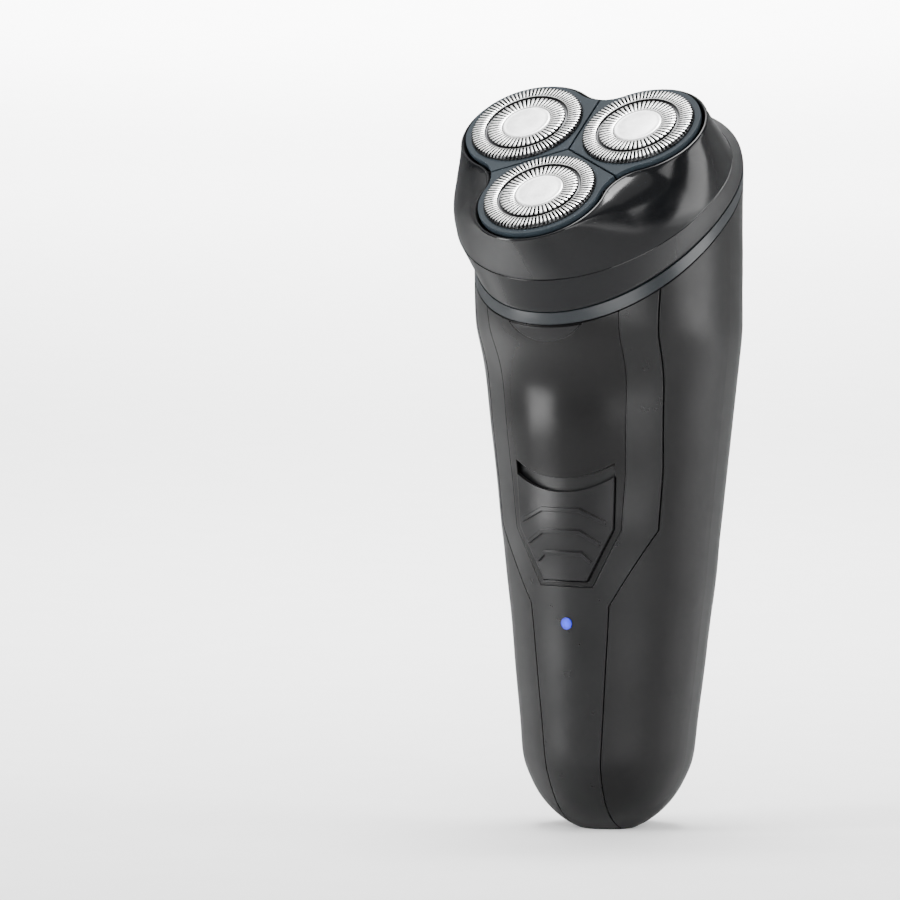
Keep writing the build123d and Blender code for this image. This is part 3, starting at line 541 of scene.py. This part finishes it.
WEB_BEVEL = 0.3
RIB_HALF = (1.2, 1.5, 0.7)
RIB_PLACE = Vector((18.2, 0, -6.9))
RIB_BEVEL = 0.2
HEAD_ORIGIN = Vector(joint("motor_spin")["pos_m"]) + HEAD_AXIS * (HEAD_DEPTH * MM)


def trefoil_radius(angle, lobe, notch):
    """How far three lobes with rounded notches reach in one direction."""
    off = abs((angle - FRONT_LOBE + 60) % 120 - 60)
    reach = (LOBE_MIDDLE + math.sqrt(4 * (lobe + notch) ** 2 - 3 * LOBE_MIDDLE ** 2)) / 2
    turn = math.radians(off)
    side = math.radians(60 - off)
    edge = math.asin(math.sin(math.radians(60)) * reach / (lobe + notch))
    tangent = math.atan2(lobe * math.sin(edge), LOBE_MIDDLE - lobe * math.cos(edge))
    if turn > tangent:
        return reach * math.cos(side) - math.sqrt(max(0.0, notch ** 2 - (reach * math.sin(side)) ** 2))
    return LOBE_MIDDLE * math.cos(turn) + math.sqrt(lobe ** 2 - (LOBE_MIDDLE * math.sin(turn)) ** 2)


def collar_point(level, angle, inset):
    """Where the handle's outer form meets a level of the head's frame."""
    tilt = math.asin(-HEAD_AXIS.y)
    start_y = HEAD_ORIGIN.y / MM - level * math.sin(tilt)
    start_z = HEAD_ORIGIN.z / MM + level * math.cos(tilt)
    turn = math.radians(angle)
    height = start_z
    for _ in range(COLLAR_ROUNDS):
        share = min(1.0, max(0.0, (height - FLARE_START) / FLARE_LENGTH))
        swell = FLARE * share * share * (3 - 2 * share) if math.sin(turn) < 0 else 0.0
        y = (DEPTH_RATIO * TOP_WIDTH + swell - inset) * math.sin(turn)
        height = start_z + (y - start_y) * math.tan(tilt)
    return (TOP_WIDTH - inset) * math.cos(turn), (y - start_y) / math.cos(tilt)


def crease_point(angle, inset):
    """Where the dome meets the skirt in one direction, so far inside the outer form."""
    turn = math.radians(angle)
    depth = (CREASE_REAR if math.sin(turn) > 0 else CREASE_FRONT) - inset
    return (CREASE_WIDTH - inset) * math.cos(turn), CREASE_MIDDLE + depth * math.sin(turn)


def dome_point(angle, fall, inset=0.0):
    """The shell between its lip (fall 0) and its crease (fall 1): shoulders fill the side notches."""
    turn = math.radians(angle)
    reach = trefoil_radius(angle, POCKET_LOBE + LIP_WIDTH, POCKET_NOTCH - LIP_WIDTH) - inset
    from_front = math.radians(abs((angle - 90) % 360 - 180))
    fullness = max(0.0, math.sin(min(math.pi, 1.5 * from_front)))
    behind = max(0.0, math.sin(turn)) ** 2
    share = (1 - fullness) * fall ** (1 + 0.5 * behind) + fullness * math.sqrt(1 - (1 - fall) ** 2)
    wide, deep = crease_point(angle, inset)
    return ((1 - share) * reach * math.cos(turn) + share * wide,
            (1 - share) * reach * math.sin(turn) + share * deep,
            LIP_LEVEL - LIP_DROP + (CREASE_LEVEL - LIP_LEVEL + LIP_DROP) * fall)


def lip_point(angle, widen, level):
    """A point on the lip, so far outside the pocket's wall."""
    reach = trefoil_radius(angle, POCKET_LOBE + widen, POCKET_NOTCH - widen)
    turn = math.radians(angle)
    return reach * math.cos(turn), reach * math.sin(turn), level


def skirt_point(angle, share, inset):
    """The band between the crease (share 0) and the ring (share 1)."""
    wide, deep = crease_point(angle, inset)
    low_x, low_y = collar_point(SHELL_BASE, angle, inset)
    return ((1 - share) * wide + share * low_x, (1 - share) * deep + share * low_y,
            CREASE_LEVEL + (SHELL_BASE - CREASE_LEVEL) * share)


def shell_section(angle):
    """The head shell's closed section in one direction, from the pocket over the lip and back inside."""
    lip = ((0.0, -3.6), (0.0, -2.05), (0.08, -1.82), (0.28, -1.68), (0.52, -1.72), (0.70, -1.86))
    points = [lip_point(angle, widen, level) for widen, level in lip]
    falls = [(step / DOME_STEPS) ** 1.6 for step in range(1, DOME_STEPS)] + [0.985, 1.0]
    points += [dome_point(angle, fall, SHELF * fall) for fall in falls]
    points.append((*crease_point(angle, SHELF - 0.02), CREASE_LEVEL - 0.04))
    points.append((*crease_point(angle, 0.08), CREASE_LEVEL - 0.06))
    points += [skirt_point(angle, share, 0.0) for share in (0.02, 0.04, 0.3, 0.6, 0.9, 0.97)]
    points.append((*skirt_point(angle, 1.0, 0.04)[:2], SHELL_BASE + 0.1))
    points.append((*skirt_point(angle, 1.0, 0.2)[:2], SHELL_BASE))
    points += [skirt_point(angle, share, SHELL_WALL) for share in (1.0, 0.6, 0.2)]
    points += [dome_point(angle, fall, SHELL_WALL + 0.1) for fall in (0.95, 0.7, 0.45, 0.3)]
    return points


def clear_of_hinge(point, axis_v, axis_w):
    """Lifts a point of the skirt out of the room that the hinge turns in."""
    u, v, w = point
    if abs(u) < HINGE_ROOM_HALF and abs(v - axis_v) < HINGE_ROOM:
        roof = axis_w + math.sqrt(HINGE_ROOM ** 2 - (v - axis_v) ** 2)
        return u, v, max(w, roof)
    return point


def closed_ring(bm, rows):
    """Joins rows of points into a tube that closes on itself both ways."""
    verts = [[bm.verts.new(spot) for spot in row] for row in rows]
    for row, after in zip(verts, verts[1:] + verts[:1]):
        for step in range(len(row)):
            ahead = (step + 1) % len(row)
            bm.faces.new((row[step], after[step], after[ahead], row[ahead]))


def bevelled_block(bm, half, bevel):
    """A block about the origin with rounded edges; returns its vertices."""
    verts = bmesh.ops.create_cube(bm, size=2.0)["verts"]
    bmesh.ops.scale(bm, vec=Vector(half) * MM, verts=verts)
    edges = list(dict.fromkeys(edge for vert in verts for edge in vert.link_edges))
    made = bmesh.ops.bevel(bm, geom=edges, offset=bevel * MM, segments=2, affect="EDGES", profile=0.5)
    return list(dict.fromkeys(vert for face in made["faces"] for vert in face.verts))


def add_wall(bm, place, hinge):
    """The dome, the skirt and their inner face, as one closed skin with a hollow round the hinge."""
    sections = [shell_section(360 * step / SHELL_STEPS) for step in range(SHELL_STEPS)]
    sections = [[clear_of_hinge(point, hinge.y, hinge.z) for point in line] for line in sections]
    rows = [[place @ (Vector(point) * MM) for point in row] for row in zip(*sections)]
    closed_ring(bm, rows)
    bmesh.ops.remove_doubles(bm, verts=bm.verts, dist=WELD * MM)


def add_knuckle(bm, place, hinge):
    """The barrel that turns on the hinge pin, with chamfered ends."""
    profile = [(KNUCKLE_BORE, 0.1), (KNUCKLE_BORE + 0.1, 0.0),
               (KNUCKLE_RADIUS - 0.25, 0.0), (KNUCKLE_RADIUS, 0.25)]
    profile = [(radius, KNUCKLE_HALF - depth) for radius, depth in profile]
    profile += [(radius, -end) for radius, end in reversed(profile)]
    turns = [2 * math.pi * step / KNUCKLE_STEPS for step in range(KNUCKLE_STEPS)]
    rows = []
    for radius, along in profile:
        ring = [(along, hinge.y + radius * math.cos(a), hinge.z + radius * math.sin(a)) for a in turns]
        rows.append([place @ (Vector(point) * MM) for point in ring])
    closed_ring(bm, rows)


def add_web(bm, place, hinge):
    """The sloping web that ties the knuckle to the shell."""
    web = bevelled_block(bm, WEB_HALF, WEB_BEVEL)
    lean = Matrix.Rotation(WEB_LEAN, 4, "X")
    spot = Vector((0, hinge.y + WEB_PLACE[0], hinge.z + WEB_PLACE[1])) * MM
    bmesh.ops.transform(bm, matrix=place @ Matrix.Translation(spot) @ lean, verts=web)


def add_ribs(bm, place):
    """A short rib inside the shell behind each notch between two lobes."""
    for angle in (FRONT_LOBE + 60, FRONT_LOBE + 180, FRONT_LOBE + 300):
        rib = bevelled_block(bm, RIB_HALF, RIB_BEVEL)
        turn = Matrix.Rotation(math.radians(angle), 4, "Z")
        bmesh.ops.transform(bm, matrix=place @ turn @ Matrix.Translation(RIB_PLACE * MM), verts=rib)


def make_head_shell():
    """The glossy head shell, with its knuckle, web and ribs, in place of the plain CAD one."""
    place = head_place(HEAD_ORIGIN)
    hinge = place.inverted() @ Vector(joint("head_hinge")["pos_m"]) / MM
    bm = bmesh.new()
    add_wall(bm, place, hinge)
    add_knuckle(bm, place, hinge)
    add_web(bm, place, hinge)
    add_ribs(bm, place)
    shell = add_object("head_shell_cover", bm, MATERIALS["head_black"], 28.0)
    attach(shell, "head")
    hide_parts("head_shell")


# ------------------------------------------------------------------ studio

FLOOR_STEPS = 64


def make_camera():
    right = Vector((math.cos(AZIMUTH), math.sin(AZIMUTH), 0))
    back = Vector((math.sin(AZIMUTH) * math.cos(ELEVATION), -math.cos(AZIMUTH) * math.cos(ELEVATION),
                   math.sin(ELEVATION)))
    up = back.cross(right)
    target = right * AIM_RIGHT + up * AIM_UP
    data = bpy.data.cameras.new("camera")
    data.lens = LENS
    data.sensor_width = SENSOR
    data.clip_end = 20.0
    camera = bpy.data.objects.new("camera", data)
    bpy.context.scene.collection.objects.link(camera)
    turn = Matrix((right, up, back)).transposed().to_4x4()
    camera.matrix_world = Matrix.Translation(target + back * (PICTURE_WIDTH * LENS / SENSOR)) @ turn
    bpy.context.scene.camera = camera


def make_floor():
    """A pale floor that curves up into a backdrop all round, in metres."""
    bm = bmesh.new()
    profile = [(0.5, 0.0), (1.6, 0.0), (2.9, 0.0), (3.5, 0.04), (4.0, 0.16), (4.3, 0.36), (4.45, 0.66),
               (4.5, 1.3), (4.5, 3.0)]
    rows = []
    for radius, height in profile:
        row = []
        for step in range(FLOOR_STEPS):
            angle = 2 * math.pi * step / FLOOR_STEPS
            row.append(bm.verts.new((radius * math.cos(angle), radius * math.sin(angle), height)))
        rows.append(row)
    for inner, outer in zip(rows, rows[1:]):
        for step in range(FLOOR_STEPS):
            ahead = (step + 1) % FLOOR_STEPS
            bm.faces.new((inner[step], outer[step], outer[ahead], inner[ahead]))
    bm.faces.new(rows[0])
    material = plastic("floor_paint", (0.86, 0.86, 0.86), (0.6, 0.7), grain=300.0, wear=0.0, specular=0.2,
                       mottle=0.01, edge_round=0.0)
    floor = add_object("floor", bm, material, 60.0)


def area_light(name, around, distance, height, size, radiance, aim, spread=180.0):
    """A soft box that the camera doesn't see, aimed at a point, with its lengths in metres.

    Around is its direction from the shaver, in degrees to the camera's right. Radiance is its
    brightness, whatever its size.
    """
    turn = math.radians(around)
    towards = Vector((math.sin(AZIMUTH), -math.cos(AZIMUTH), 0))
    right = Vector((math.cos(AZIMUTH), math.sin(AZIMUTH), 0))
    spot = (towards * math.cos(turn) + right * math.sin(turn)) * distance + Vector((0, 0, height))
    data = bpy.data.lights.new(name, "AREA")
    data.shape = "RECTANGLE"
    data.size, data.size_y = size
    data.energy = radiance * math.pi * size[0] * size[1]
    data.spread = math.radians(spread)
    light = bpy.data.objects.new(name, data)
    bpy.context.scene.collection.objects.link(light)
    light.location = spot
    light.rotation_euler = (Vector(aim) - spot).to_track_quat("-Z", "Y").to_euler()
    light.visible_camera = False


def make_lights():
    """Soft boxes where the casing's broad highlights come from, and washes for the floor behind."""
    world = bpy.data.worlds.new("world")
    world.use_nodes = True
    world.node_tree.nodes["Background"].inputs["Color"].default_value = (0.96, 0.97, 1.0, 1)
    world.node_tree.nodes["Background"].inputs["Strength"].default_value = 0.20
    bpy.context.scene.world = world
    area_light("left_box", -72, 0.85, 0.28, (0.20, 0.62), 29.0, (0, 0, 0.12))
    area_light("left_card", -72, 0.55, 0.15, (0.16, 0.50), 10.0, (0, 0, 0.95))
    area_light("front_box", 12, 0.80, 0.28, (0.60, 0.56), 9.0, (0, 0, 0.10))
    area_light("front_card", 14, 0.55, 0.15, (0.40, 0.46), 3.0, (0, 0, 0.95))
    area_light("right_box", 82, 0.80, 0.28, (0.46, 0.60), 8.0, (0, 0, 0.10))
    area_light("right_card", 82, 0.55, 0.15, (0.30, 0.46), 3.0, (0, 0, 0.95))
    area_light("top_box", -118, 0.32, 0.78, (0.55, 0.45), 1.3, (0, -0.02, 0.15))
    area_light("over_box", 0, 0.25, 0.95, (0.7, 0.5), 1.4, (0, 0, 0.10))
    area_light("ceiling", 0, 0.01, 2.0, (5.0, 5.0), 0.6, (0, 0, 0))
    behind = Vector((-math.sin(AZIMUTH), math.cos(AZIMUTH), 0))
    area_light("near_wash", 180, 0.9, 1.2, (0.6, 1.7), 6.0, behind * 0.95, 60)
    area_light("far_wash", 180, 2.5, 1.6, (0.9, 1.8), 11.0, behind * 2.8, 70)
    area_light("backdrop_wash", 180, 2.3, 1.5, (1.4, 0.6), 42.0, behind * 4.5 + Vector((0, 0, 0.3)), 70)


dress_frame()
for number in (1, 2, 3):
    make_guard(number)
    make_cap(number)
    make_spring(number)
make_head_shell()
make_camera()
make_floor()
make_lights()
